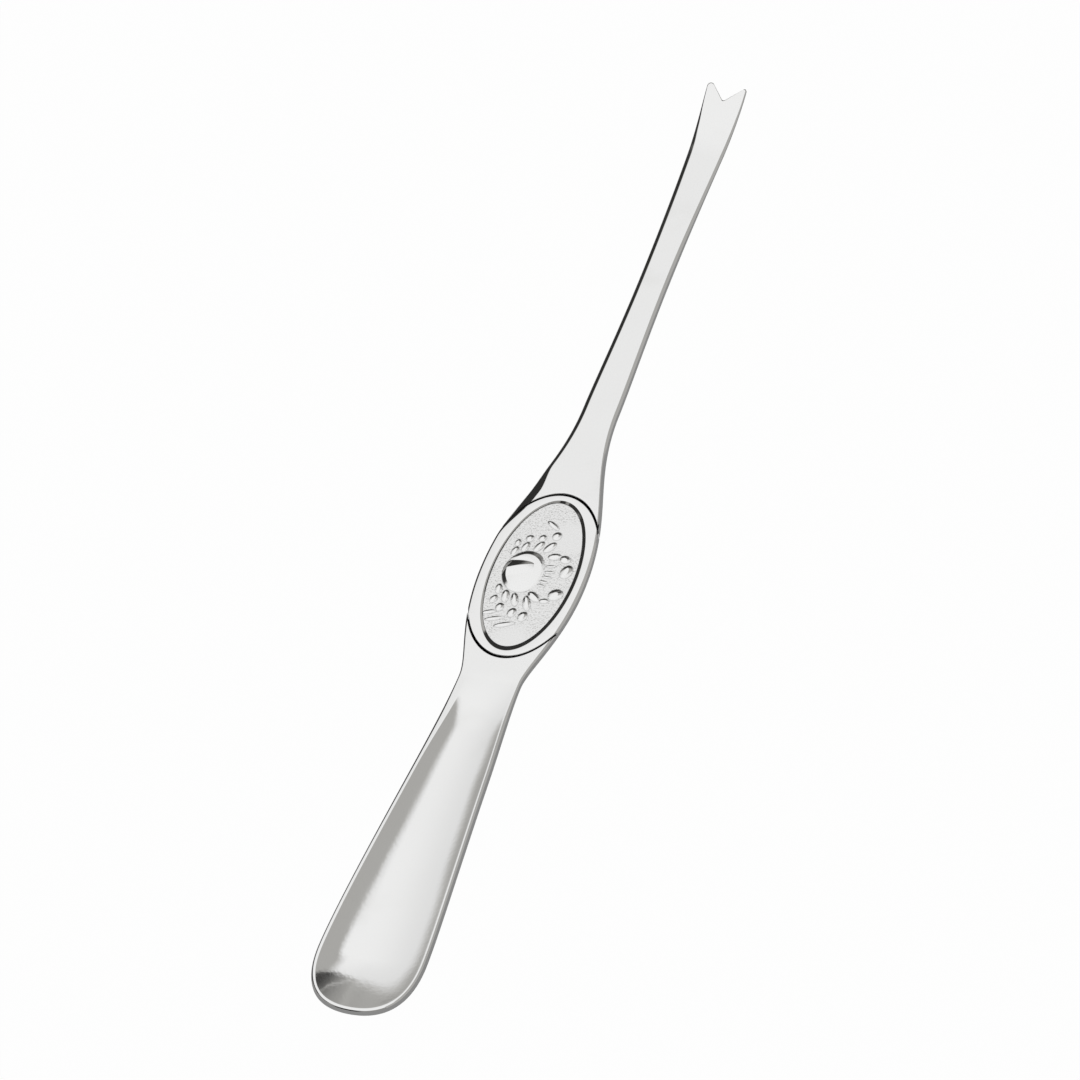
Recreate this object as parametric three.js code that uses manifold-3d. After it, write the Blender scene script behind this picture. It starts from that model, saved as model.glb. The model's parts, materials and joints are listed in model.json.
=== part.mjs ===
import * as THREE from 'three';
import { mergeVertices } from 'three/addons/utils/BufferGeometryUtils.js';
import Module from 'manifold-3d';

// A two-ended lobster fork: a forked pick, a slim shank, an oval boss that carries a crab medallion
// in an inlaid bezel, and a hollow scoop. Millimetres, +Z up, +Y towards the prongs. The origin lies
// on the surface that the fork rests on, under the middle of its length.

const wasm = await Module();
wasm.setup();

// Bezel: an oval ring in a seat that is cut across the boss, flush with its face
const windowLength = 30.7; // opening in the ring along Y, at its top
const windowWidth = 14.2; // the same along X
const sideSlope = 0.6; // how far the ring's inner wall leans at its sides
const endSlope = 0.75; // the same at its ends, before its foot is shifted
const footShift = 0.25; // how far that foot, and the plaque, lie towards the prongs
const endBand = 0.95; // width of the ring's top at its two ends
const sideBand = 2.2; // the same at its sides, before the sides of the boss trim it
const seatDepth = 1.0; // from the face of the boss down to the seat
const seatClearance = 0.1; // between the ring and the wall of the seat
const grooveWidth = 0.6; // groove round the ring, at the face
const grooveDepth = 0.45;

// Plaque: lies on the same seat, inside the ring
const fieldDepth = 0.33; // from the top of the ring down to the plaque's field
const plaqueClearance = 0.1; // between the plaque and the ring

// Lengths of the body, one after the other along Y
const neckGap = 5.0; // bezel's end to the narrowest place of the neck
const hollowGap = 3.0; // narrowest place of the neck to the start of the hollow
const scoopLength = 65.8; // narrowest place of the neck to the end of the scoop
const scoopEndLength = 10.8; // widest place of the scoop to its end
const hollowRamp = 7.0; // start of the hollow to where it has its full depth
const shoulderLength = 18.7; // bezel's other end to the start of the shank
const shankLength = 28.5; // start of the shank to its narrowest place
const flareLength = 41.0; // narrowest place of the shank to the tips of the prongs

// Widths of the body
const bossWidth = 17.6;
const neckWidth = 10.3;
const scoopWidth = 17.2;
const shoulderWidth = 6.3; // start of the shank
const shankWidth = 5.26; // narrowest place of the shank
const forkWidth = 6.85; // across the prongs

// How long the outline keeps its direction at each end of a curve, as a share of that curve
const scoopEndHold = [0.68, 0.65]; // across at the scoop's end, along at its widest place
const scoopSideHold = [0.18, 0.2]; // from the scoop's widest place to the neck
const waistHold = [0.19, 0.52]; // from the neck to the boss
const shoulderHold = [0.42, 0.41]; // from the boss to the shank
const shankHold = [0.19, 0.42]; // from the shoulder to the narrowest place
const flareHold = [0.55, 0.16]; // from the narrowest place to the prongs

// Prongs
const prongRadius = 0.45; // round end of each prong
const notchDepth = 2.8; // from the tips down to the root of the notch
const notchRadius = 0.4; // in the root of the notch
const forkRoot = 3.5; // solid length behind the notch that the prongs fan out from

// Heights above the surface
const bossThickness = 2.0; // also the height of the bezel's and the neck's face
const shankThickness = 1.6;
const tipThickness = 0.9;
const shankRise = 0.8; // how far the face climbs along shank and fork
const tipLift = 2.4; // how far the fork's end turns up beyond that
const tipBend = 14.0; // length of the fork's end that turns up
const rimHeight = 4.2; // top of the scoop's rim
const rimSwell = 1.2; // above 1 the rim rises slower at the neck
const scoopDepth = 2.4; // from the rim down to the bottom of the hollow
const scoopWall = 1.3; // thickness under the bottom of the hollow
const endEase = 0.3; // the smaller, the sooner the hollow climbs to the scoop's end

// Edges
const edgeDrop = 0.5; // from the face down to the widest line of the edge
const rimDrop = 1.0; // the same outside the scoop's rim, where the edge is upright
const bossRound = 0.5; // width of the rounding beside the bezel
const shoulderRound = 0.9; // width of the rounding beside the bezel's upper end
const shankRound = 0.7; // width of the rounding along the shank
const tipRound = 0.25; // width of the rounding round the prongs
const scoopRound = 0.3; // width of the rounding outside the scoop's rim
const rimCrest = 0.3; // flat top of the scoop's rim
const backRound = 1.6; // width of the rounding on the back

// Crab: its front looks along +X
const shellCentre = new THREE.Vector2(-1.8, 0.55);
const shellLength = 6.8; // along X
const shellWidth = 8.4; // along Y
const shellHeight = 0.55;
const legCount = 4; // on each side
const legFirstAngle = 38.7; // degrees of the rear leg, from the side towards the rear
const legFanAngle = 20.2; // degrees from one leg to the next
const legReach = 4.8; // middle of the shell to the middle of the rear leg's first segment
const legReachGain = 0.45; // more for each leg further forward
const legSegments = [
  { length: 2.1, width: 1.2, height: 0.3, lean: 0 },
  { length: 1.8, width: 1.1, height: 0.26, lean: -7 },
  { length: 2.7, width: 0.75, height: 0.16, lean: 36 },
];
const segmentGap = 0.1;
const clawSegments = [
  { along: 3.7, aside: 3.75, length: 1.8, width: 1.15, height: 0.3, turn: 12 },
  { along: 5.35, aside: 3.85, length: 1.5, width: 1.3, height: 0.35, turn: -20 },
  { along: 6.5, aside: 1.95, length: 2.5, width: 1.6, height: 0.4, turn: -75 },
];
const mouthCount = 5;
const mouthReach = 3.75; // middle of the shell to the mouth's ridges
const mouthSpread = 0.95; // from one ridge to the next
const mouthRidge = { length: 1.5, width: 0.45, height: 0.15 };

// Facets
const outlineSteps = [12, 16, 10, 12, 8, 12, 2, 3, 3]; // along each curve of the half outline
const hollowSteps = 8; // across the face
const edgeSteps = 3; // round the edge
const backSteps = 4; // round the edge of the back
const middleSteps = 3; // across the back
const ovalSteps = 72;
const lumpSteps = 12;
const lumpRiseSteps = 3;
const shellSteps = 28;
const shellRiseSteps = 6;

// Places that follow from the sizes
const bezelLength = windowLength + 2 * endBand;
const bezelWidth = windowWidth + 2 * sideBand;
const bezelEnd = bezelLength / 2;
const neckY = -(bezelEnd + neckGap);
const hollowY = neckY - hollowGap;
const scoopEndY = neckY - scoopLength;
const scoopCentreY = scoopEndY + scoopEndLength;
const shoulderY = bezelEnd + shoulderLength;
const narrowY = shoulderY + shankLength;
const tipY = narrowY + flareLength;
const spineEndY = tipY - notchDepth - forkRoot;
const middleY = (tipY + scoopEndY) / 2;

const { smoothstep, clamp, lerp, degToRad } = THREE.MathUtils;

// Goes smoothly from a to b while y goes from start to end, whichever is larger
function ease(y, start, end, a, b) {
  const share = clamp((y - start) / (end - start), 0, 1);
  return lerp(a, b, smoothstep(share, 0, 1));
}

// Share of the rise from the neck to the scoop's rim
function rimShare(y) {
  const share = clamp((neckY - y) / (neckY - scoopCentreY), 0, 1);
  return Math.sin(share * Math.PI / 2) ** rimSwell;
}

// Height of the face: level at the boss, rising to the scoop's rim and to the prongs
function faceHeight(y) {
  const climb = clamp((y - shoulderY) / (tipY - shoulderY), 0, 1);
  const bend = clamp((y - tipY + tipBend) / tipBend, 0, 1);
  const rim = (rimHeight - bossThickness) * rimShare(y);
  return bossThickness + rim + shankRise * climb ** 2 + tipLift * bend ** 2;
}

// Height of the back: flat under the boss, lifted a little under the scoop, following the face
// along the shank
function backHeight(y) {
  if (y < bezelEnd) return (rimHeight - scoopDepth - scoopWall) * rimShare(y);
  const shank = ease(y, bezelEnd, narrowY, bossThickness, shankThickness);
  return faceHeight(y) - ease(y, narrowY, tipY, shank, tipThickness);
}

// Depth of the hollow along the middle of the scoop, in proportion to its width inside the rim
function hollowDepth(y, inner) {
  const widest = scoopWidth / 2 - scoopRound - rimCrest;
  const share = y > scoopCentreY ? inner / widest : 1;
  return scoopDepth * share * ease(y, hollowY, hollowY - hollowRamp, 0, 1);
}

// Rise of the hollow from its bottom, 0, to the rim, 1: a parabola of the share of the way out, and
// towards the scoop's end a curve that soon gets steep and stays so
function hollowRise(share, endward) {
  const curve = (s) => s - endEase * Math.log1p(s / endEase);
  return lerp(share ** 2, curve(share) / curve(1), endward);
}

// Width of the rounding between the face and the widest line of the edge
function edgeRound(y) {
  if (y < 0) return ease(y, 0, hollowY, bossRound, scoopRound);
  const shoulder = ease(y, 0, bezelEnd, bossRound, shoulderRound);
  const shank = ease(y, bezelEnd, shoulderY, shoulder, shankRound);
  return ease(y, tipY - tipBend, tipY - notchDepth, shank, tipRound);
}

// Height of the face above the widest line of the edge
function edgeFall(y) {
  return lerp(edgeDrop, rimDrop, rimShare(y));
}

// Right-hand half of the plan outline, from the scoop's end to the root of the notch
function halfOutline() {
  const scoop = scoopWidth / 2;
  const neck = neckWidth / 2;
  const boss = bossWidth / 2;
  const shoulder = shoulderWidth / 2;
  const shank = shankWidth / 2;
  const fork = forkWidth / 2;
  const at = (x, y) => new THREE.Vector2(x, y);
  const arc = (centre, radius, start, end, clockwise) => (
    new THREE.EllipseCurve(centre.x, centre.y, radius, radius, start, end, clockwise)
  );
  const side = (fromX, fromY, toX, toY, [leave, arrive]) => {
    const span = toY - fromY;
    const near = at(fromX, fromY + leave * span);
    const far = at(toX, toY - arrive * span);
    return new THREE.CubicBezierCurve(at(fromX, fromY), near, far, at(toX, toY));
  };
  const [endHold, cornerHold] = scoopEndHold;
  const cornerY = scoopCentreY - cornerHold * scoopEndLength;

  // The notch's side touches the prong's round end and the fillet in the root
  const prong = at(fork - prongRadius, tipY - prongRadius);
  const root = at(0, tipY - notchDepth + notchRadius);
  const across = root.clone().sub(prong);
  const swing = Math.acos((prongRadius + notchRadius) / across.length());
  const touch = across.angle() - swing;

  const curves = [
    new THREE.CubicBezierCurve(
      at(0, scoopEndY),
      at(scoop * endHold, scoopEndY),
      at(scoop, cornerY),
      at(scoop, scoopCentreY),
    ),
    side(scoop, scoopCentreY, neck, neckY, scoopSideHold),
    side(neck, neckY, boss, 0, waistHold),
    side(boss, 0, shoulder, shoulderY, shoulderHold),
    side(shoulder, shoulderY, shank, narrowY, shankHold),
    side(shank, narrowY, fork, prong.y, flareHold),
    arc(prong, prongRadius, 0, Math.PI / 2, false),
    arc(prong, prongRadius, Math.PI / 2, touch, false),
    arc(root, notchRadius, touch - Math.PI, -Math.PI / 2, true),
  ];
  return curves.flatMap((curve, i) => curve.getSpacedPoints(outlineSteps[i]));
}

// Closed section at one point of the outline: from the spine out along the face, round the edge
// and back along the underside. Round both ends of the spine the sections stand like a fan.
function bodySection(edge) {
  const spine = new THREE.Vector2(0, clamp(edge.y, scoopCentreY, spineEndY));
  const reach = edge.distanceTo(spine);
  const out = edge.clone().sub(spine).divideScalar(reach);
  const round = edgeRound(edge.y);
  const inner = reach - round - rimCrest;
  const depth = hollowDepth(spine.y, inner);
  const endward = edge.y < scoopCentreY ? out.y ** 2 : 0;
  const belly = ease(edge.y, neckY, scoopCentreY, 0, 1);
  const back = lerp(backRound, reach / 2, belly);
  const section = [];

  const add = (distance, height) => {
    const place = out.clone().multiplyScalar(distance).add(spine);
    section.push(new THREE.Vector3(place.x, place.y, height(place.y)));
  };
  const underside = (distance, turn) => {
    add(distance, (y) => {
      const rise = faceHeight(y) - edgeFall(y) - backHeight(y);
      const bowl = (distance / reach) ** 2;
      return backHeight(y) + rise * lerp(1 - Math.cos(turn), bowl, belly);
    });
  };

  for (let k = 0; k <= hollowSteps; k += 1) {
    const share = k / hollowSteps;
    add(inner * share, (y) => faceHeight(y) - depth * (1 - hollowRise(share, endward)));
  }
  for (let k = 0; k <= edgeSteps; k += 1) {
    const turn = (k / edgeSteps) * Math.PI / 2;
    const fall = (y) => edgeFall(y) * (1 - Math.cos(turn));
    add(reach - round * (1 - Math.sin(turn)), (y) => faceHeight(y) - fall(y));
  }
  for (let k = backSteps - 1; k >= 0; k -= 1) {
    const turn = (k / backSteps) * Math.PI / 2;
    underside(reach - back * (1 - Math.sin(turn)), turn);
  }
  for (let k = middleSteps - 1; k >= 0; k -= 1) {
    underside((reach - back) * k / middleSteps, 0);
  }
  return section;
}

// Skin over a row of sections that closes on itself; a closed profile also joins its last point to
// its first
function loft(sections, closedProfile) {
  const count = sections[0].length;
  const spans = closedProfile ? count : count - 1;
  const index = [];
  sections.forEach((_, i) => {
    const here = i * count;
    const next = ((i + 1) % sections.length) * count;
    for (let j = 0; j < spans; j += 1) {
      const k = (j + 1) % count;
      index.push(here + j, here + k, next + k, here + j, next + k, next + j);
    }
  });
  const geometry = new THREE.BufferGeometry().setFromPoints(sections.flat());
  geometry.setIndex(index);
  return welded(geometry);
}

// Merges equal points and drops the triangles that have shrunk to a line
function welded(geometry) {
  geometry.deleteAttribute('normal');
  geometry.deleteAttribute('uv');
  const merged = mergeVertices(geometry, 1e-4);
  const corners = merged.index.array;
  const kept = [];
  for (let i = 0; i < corners.length; i += 3) {
    const [a, b, c] = corners.subarray(i, i + 3);
    if (a !== b && b !== c && c !== a) kept.push(a, b, c);
  }
  merged.setIndex(kept);
  return merged;
}

function toSolid(geometry) {
  const clean = welded(geometry);
  return new wasm.Manifold(new wasm.Mesh({
    numProp: 3,
    vertProperties: new Float32Array(clean.attributes.position.array),
    triVerts: new Uint32Array(clean.index.array),
  }));
}

function toGeometry(solid) {
  const mesh = solid.getMesh();
  const geometry = new THREE.BufferGeometry();
  geometry.setAttribute('position', new THREE.BufferAttribute(mesh.vertProperties, 3));
  geometry.setIndex(new THREE.BufferAttribute(mesh.triVerts, 1));
  return geometry;
}

// Solid or ring round the middle of the boss: each point of the profile is an oval, given by its
// width, length and height, and by its shift along Y where it has one. The profile of a solid starts
// and ends on the axis, with its top first; that of a ring closes on itself.
function ovalLoft(profile, closedProfile) {
  const sections = [];
  for (let i = 0; i < ovalSteps; i += 1) {
    const turn = (i / ovalSteps) * 2 * Math.PI;
    sections.push(profile.map(([width, length, height, shift = 0]) => new THREE.Vector3(
      (width / 2) * Math.cos(turn),
      (length / 2) * Math.sin(turn) + shift,
      height,
    )));
  }
  return toSolid(loft(sections, closedProfile));
}

const seatHeight = bossThickness - seatDepth;
const fieldHeight = bossThickness - fieldDepth;
const grooveSide = (grooveWidth - seatClearance) / 2;
const bezelFoot = [bezelWidth + 2 * grooveSide, bezelLength + 2 * grooveSide];
const windowFoot = [windowWidth - 2 * sideSlope, windowLength - 2 * endSlope];
const widen = ([width, length], by) => [width + 2 * by, length + 2 * by];

function bodyBlank() {
  const right = halfOutline();
  const left = right.slice(1, -1).reverse().map((point) => new THREE.Vector2(-point.x, point.y));
  return toSolid(loft([...right, ...left].map(bodySection), false));
}

// The seat is open at both sides of the boss, and its wall flares into half of the groove
function seatCut() {
  const wall = widen(bezelFoot, seatClearance);
  const mouth = widen(wall, grooveSide);
  const above = bossThickness + seatDepth;
  return ovalLoft([
    [0, 0, above],
    [...mouth, above],
    [...mouth, bossThickness],
    [...wall, bossThickness - grooveDepth],
    [...wall, seatHeight],
    [0, 0, seatHeight],
  ], false);
}

// The ring's outer edge has the other half of the groove, and its sides are the sides of the boss
function medallionBezel(blank) {
  const ring = ovalLoft([
    [...windowFoot, seatHeight, footShift],
    [...windowFoot, fieldHeight, footShift],
    [windowWidth, windowLength, bossThickness],
    [bezelWidth, bezelLength, bossThickness],
    [...bezelFoot, bossThickness - grooveDepth],
    [...bezelFoot, seatHeight],
  ], true);
  return ring.intersect(blank);
}

const plaqueOval = widen(windowFoot, -plaqueClearance);

function plaqueSolid(top) {
  return ovalLoft([
    [0, 0, top, footShift],
    [...plaqueOval, top, footShift],
    [...plaqueOval, seatHeight, footShift],
    [0, 0, seatHeight, footShift],
  ], false);
}

const lumpSink = (fieldHeight - seatHeight) / 2;

// Low oval dome that stands on the plaque's field, turned by an angle in degrees from +X
function dome(x, y, length, width, height, angle, around, rise) {
  const profile = [new THREE.Vector2(0, -lumpSink), new THREE.Vector2(1, -lumpSink)];
  for (let k = 0; k <= rise; k += 1) {
    const turn = (k / rise) * Math.PI / 2;
    profile.push(new THREE.Vector2(k === rise ? 0 : Math.cos(turn), height * Math.sin(turn)));
  }
  const geometry = new THREE.LatheGeometry(profile, around);
  geometry.rotateX(Math.PI / 2);
  geometry.scale(length / 2, width / 2, 1);
  geometry.rotateZ(degToRad(angle));
  geometry.translate(x, y, fieldHeight);
  return toSolid(geometry);
}

// Legs of one side: each has three segments, the last one swept to the rear, where it is left off
// the rear leg for want of room
function crabLegs(side) {
  const lumps = [];
  for (let leg = 0; leg < legCount; leg += 1) {
    const rootAngle = degToRad(90 + legFirstAngle - leg * legFanAngle);
    const reach = legReach + leg * legReachGain;
    const place = new THREE.Vector2(Math.cos(rootAngle), Math.sin(rootAngle)).multiplyScalar(reach);
    const segments = leg === 0 ? legSegments.slice(0, -1) : legSegments;
    segments.forEach(({ length, width, height, lean }, i) => {
      const angle = i === 0 ? 90 + (legFirstAngle - leg * legFanAngle) / 2 : 90 + lean;
      const along = new THREE.Vector2(Math.cos(degToRad(angle)), Math.sin(degToRad(angle)));
      if (i > 0) place.addScaledVector(along, length / 2);
      const x = shellCentre.x + place.x;
      const y = shellCentre.y + side * place.y;
      lumps.push(dome(x, y, length, width, height, side * angle, lumpSteps, lumpRiseSteps));
      place.addScaledVector(along, length / 2 + segmentGap);
    });
  }
  return lumps;
}

function crabClaw(side) {
  return clawSegments.map(({ along, aside, length, width, height, turn }) => {
    const x = shellCentre.x + along;
    const y = shellCentre.y + side * aside;
    return dome(x, y, length, width, height, side * turn, lumpSteps, lumpRiseSteps);
  });
}

function crabMouth() {
  const ridges = [];
  for (let i = 0; i < mouthCount; i += 1) {
    const aside = (i - (mouthCount - 1) / 2) * mouthSpread;
    const { length, width, height } = mouthRidge;
    const x = shellCentre.x + mouthReach;
    const y = shellCentre.y + aside;
    ridges.push(dome(x, y, length, width, height, 0, lumpSteps, lumpRiseSteps));
  }
  return ridges;
}

// The crab stands on the plaque and is cut off at the plaque's edge
function crabMedallion() {
  const { x, y } = shellCentre;
  const shell = dome(x, y, shellLength, shellWidth, shellHeight, 0, shellSteps, shellRiseSteps);
  const lumps = [...crabMouth()];
  [1, -1].forEach((side) => lumps.push(...crabLegs(side), ...crabClaw(side)));
  const crab = lumps.reduce((solid, lump) => solid.add(lump), shell);
  const room = plaqueSolid(fieldHeight + 2 * shellHeight);
  return plaqueSolid(fieldHeight).add(crab.intersect(room));
}

const polished = { color: 0xd6d6d3, roughness: 0.12, metalness: 1 };
const struck = { color: 0xcfcfcb, roughness: 0.35, metalness: 1 };

function piece(name, solid, finish) {
  const geometry = toGeometry(solid);
  geometry.computeVertexNormals();
  const mesh = new THREE.Mesh(geometry, new THREE.MeshStandardMaterial(finish));
  mesh.name = name;
  return mesh;
}

const blank = bodyBlank();
const lobsterFork = new THREE.Group();
lobsterFork.add(
  piece('fork_body', blank.subtract(seatCut()), polished),
  piece('medallion_bezel', medallionBezel(blank), polished),
  piece('crab_medallion', crabMedallion(), struck),
);
lobsterFork.position.y = -middleY;

export default lobsterFork;
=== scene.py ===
import json
import math

import bpy
import numpy as np
from mathutils import Matrix

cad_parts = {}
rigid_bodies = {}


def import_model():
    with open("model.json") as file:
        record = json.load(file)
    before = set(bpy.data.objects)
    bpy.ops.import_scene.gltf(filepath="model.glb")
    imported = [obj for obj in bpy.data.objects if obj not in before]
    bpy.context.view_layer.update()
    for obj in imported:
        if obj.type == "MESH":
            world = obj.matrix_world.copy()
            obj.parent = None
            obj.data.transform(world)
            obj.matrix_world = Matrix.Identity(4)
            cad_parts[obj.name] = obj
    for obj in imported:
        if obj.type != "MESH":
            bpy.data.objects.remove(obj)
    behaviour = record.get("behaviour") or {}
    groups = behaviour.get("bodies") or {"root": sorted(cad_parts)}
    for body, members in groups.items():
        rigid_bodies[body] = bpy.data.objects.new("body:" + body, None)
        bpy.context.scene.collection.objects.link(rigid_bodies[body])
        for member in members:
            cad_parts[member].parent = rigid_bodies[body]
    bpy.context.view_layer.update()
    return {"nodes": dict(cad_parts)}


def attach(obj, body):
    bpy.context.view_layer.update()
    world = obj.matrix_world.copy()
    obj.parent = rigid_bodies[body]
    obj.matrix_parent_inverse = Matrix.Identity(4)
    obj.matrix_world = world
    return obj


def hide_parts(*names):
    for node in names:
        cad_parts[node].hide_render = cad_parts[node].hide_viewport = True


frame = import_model()
print("frame loaded:", ", ".join(sorted(frame["nodes"])))

mm = 0.001  # every size below is in millimetres, and y runs from the middle of the ring
mergeWithin = 1e-4  # points as near as that are one
tiny = 1e-6  # keeps divisions off zero

# The camera stands off the scoop's end, to its right, and is tipped a little
cameraView = {
    "right": (0.9390, 0.3106, -0.1478),
    "up": (-0.1487, 0.7538, 0.6401),
    "back": (0.3102, -0.5791, 0.7540),
    "ringCentre": (0.0, -8.70, 1.8),
    "aside": (1.058, 5.524),  # from the ring's centre to the middle of the picture
    "distance": 1000.0,
    "lens": 214.2,
    "sensor": 36.0,
    "clip": (0.01, 200),
}


def addCamera(v=cameraView):
    right, up, back = (np.array(v[key]) for key in ("right", "up", "back"))
    place = np.array(v["ringCentre"]) + v["aside"][0] * right + v["aside"][1] * up
    place = (place + v["distance"] * back) * mm
    data = bpy.data.cameras.new("photoCamera")
    data.sensor_width, data.lens = v["sensor"], v["lens"]
    data.clip_start, data.clip_end = v["clip"]
    camera = bpy.data.objects.new("photoCamera", data)
    turned = np.eye(4)
    turned[:3] = np.stack([right, up, back, place], 1)
    camera.matrix_world = Matrix(turned.tolist())
    bpy.context.scene.collection.objects.link(camera)
    bpy.context.scene.camera = camera


addCamera()
print("camera placed")

# Sizes of the forged body: the CAD model's, with finer edges, a flatter hollow and unequal prongs
forkBody = {
    "scoopEnd": -86.75, "scoopCentre": -76.3, "hollowStart": -19.5, "neck": -21.3,
    "ringEnd": 16.3, "shoulder": 35.0, "narrow": 63.5, "tip": 104.25, "fanStart": 98.2,
    "middle": 8.7,  # middle of the whole length, where the model's origin lies
    "scoopWidth": 17.2, "neckWidth": 10.3, "bossWidth": 17.6,
    "shoulderWidth": 6.3, "shankWidth": 5.26, "forkWidth": 6.85,
    "scoopEndHold": (0.68, 0.65), "scoopSideHold": (0.18, 0.2), "waistHold": (0.19, 0.52),
    "shoulderHold": (0.42, 0.41), "shankHold": (0.19, 0.42), "flareHold": (0.55, 0.16),
    "prongRadius": (0.62, 0.3), "rightShort": 0.42,  # left and right; the right prong is shorter
    "notchDepth": 2.8, "notchRadius": 0.4,
    "bossThickness": 2.0, "shankThickness": 1.6, "tipThickness": 0.9,
    "shankRise": 0.8, "tipLift": 2.15, "tipBend": 14.0,
    "rimHeight": 4.2, "rimSwell": 1.2, "scoopDepth": 1.45, "backLift": 0.5, "hollowRamp": 12.0,
    "endEase": 0.3, "bossRound": 0.4, "tipRound": 0.25,
    "shoulderRound": (1.9, 0.42), "shankRound": (0.8, 0.42),  # left and right
    "neckRound": 0.25, "scoopRound": 0.4, "wedgeLength": 6.0, "neckLength": 9.0, "backRound": 1.6,
    "shoulderAt": (0.4, 0.9),  # where the left bevel widens, as shares of the way to the ring's end
    # The edge on the left, on the right and at the scoop's rim; the tip is as the left
    "bevelAngle": (26, 52, 26), "bevelShare": (0.78, 0.78, 0.3), "lipDrop": (0.22, 0.6, 0.95),
    "wedgeFlat": 3.5, "wedgeAt": (4, 10, 13, 18),  # the left bevel is flatter beside the ring's end
    "rightInset": 0.3,
    "bevelSoft": 0.08, "bevelSoftMost": 0.3,  # its softened start, and the most of its width
    # Flat top of the rim at the neck and round the scoop, each on the left and on the right
    "neckCrest": (1.1, 0.2), "rimCrest": (0.38, 0.2), "crestEnd": -40.0,
    "rimSoft": 0.1,  # softened edge inside it
    "outlineSteps": (64, 80, 48, 64, 40, 64, 28, 10, 12),
    "profileSteps": (26, 6, 3, 5, 4, 7, 12, 8),
    "prongSideSteps": 3, "sharpAngle": 32,
}


# Smooth step from low to high while y goes from start to end
def ease(y, start, end, low, high):
    share = np.clip((y - start) / (end - start), 0, 1)
    return low + (high - low) * share * share * (3 - 2 * share)


# Share of the rise from the neck to the scoop's rim: a power of a sine
def rimShare(y, b=forkBody):
    share = np.clip((b["neck"] - y) / (b["neck"] - b["scoopCentre"]), 0, 1)
    return np.sin(share * np.pi / 2) ** b["rimSwell"]


# Height of the face: level at the boss, plus the rise to the scoop's rim, plus squares of the way
# along the shank and along the turned-up end
def faceHeight(y, b=forkBody):
    climb = np.clip((y - b["shoulder"]) / (b["tip"] - b["shoulder"]), 0, 1)
    turnUp = np.clip((y - b["tip"] + b["tipBend"]) / b["tipBend"], 0, 1)
    rise = (b["rimHeight"] - b["bossThickness"]) * rimShare(y)
    return b["bossThickness"] + rise + b["shankRise"] * climb ** 2 + b["tipLift"] * turnUp ** 2


# Height of the back: the ground under the boss, lifted a little under the scoop, then the face less
# the thickness
def backHeight(y, b=forkBody):
    lift = b["backLift"] * rimShare(y)
    shank = ease(y, b["ringEnd"], b["narrow"], b["bossThickness"], b["shankThickness"])
    thick = ease(y, b["narrow"], b["tip"], shank, b["tipThickness"])
    return np.where(y < b["ringEnd"], lift, faceHeight(y) - thick)


# Width of the bevel and lip along the edge of the face
def edgeRound(x, y, b=forkBody):
    neck = ease(y, 0, b["neck"], b["bossRound"], b["neckRound"])
    scoop = ease(y, b["neck"], b["neck"] - b["neckLength"], neck, b["scoopRound"])
    shoulderSide, shankSide = (np.where(x < 0, *b[key]) for key in ("shoulderRound", "shankRound"))
    widens, widest = (share * b["ringEnd"] for share in b["shoulderAt"])
    shoulder = ease(y, widens, widest, b["bossRound"], shoulderSide)
    wedge = b["ringEnd"] + b["wedgeLength"]
    shank = ease(y, b["ringEnd"], wedge, shoulder, shankSide)
    tip = ease(y, b["tip"] - b["tipBend"], b["tip"] - b["notchDepth"], shank, b["tipRound"])
    return np.where(y < 0, scoop, tip)


# Quadratic curve from one point to another, drawn to a third; points are pairs of columns
def bend(start, corner, end, steps):
    t = np.linspace(0, 1, steps + 1)
    return tuple((1 - t) ** 2 * p + 2 * (1 - t) * t * c + t ** 2 * q
                 for p, c, q in zip(start, corner, end))


# Cubic curve: four points weighted by the Bernstein polynomials
def cubicCurve(p0, p1, p2, p3, steps):
    t = np.linspace(0, 1, steps + 1)[:, None]
    p0, p1, p2, p3 = (np.array(p, float) for p in (p0, p1, p2, p3))
    return (1 - t) ** 3 * p0 + 3 * (1 - t) ** 2 * t * p1 + 3 * (1 - t) * t ** 2 * p2 + t ** 3 * p3


# Side of the fork between two places where it runs straight along y
def sideCurve(fromX, fromY, toX, toY, hold, steps):
    span = toY - fromY
    near = (fromX, fromY + hold[0] * span)
    far = (toX, toY - hold[1] * span)
    return cubicCurve((fromX, fromY), near, far, (toX, toY), steps)


# Arc: the centre plus the radius times the cosine and sine of the angle
def arc(centre, radius, start, end, steps):
    turn = np.linspace(start, end, steps + 1)
    return np.stack([centre[0] + radius * np.cos(turn), centre[1] + radius * np.sin(turn)], 1)


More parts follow.
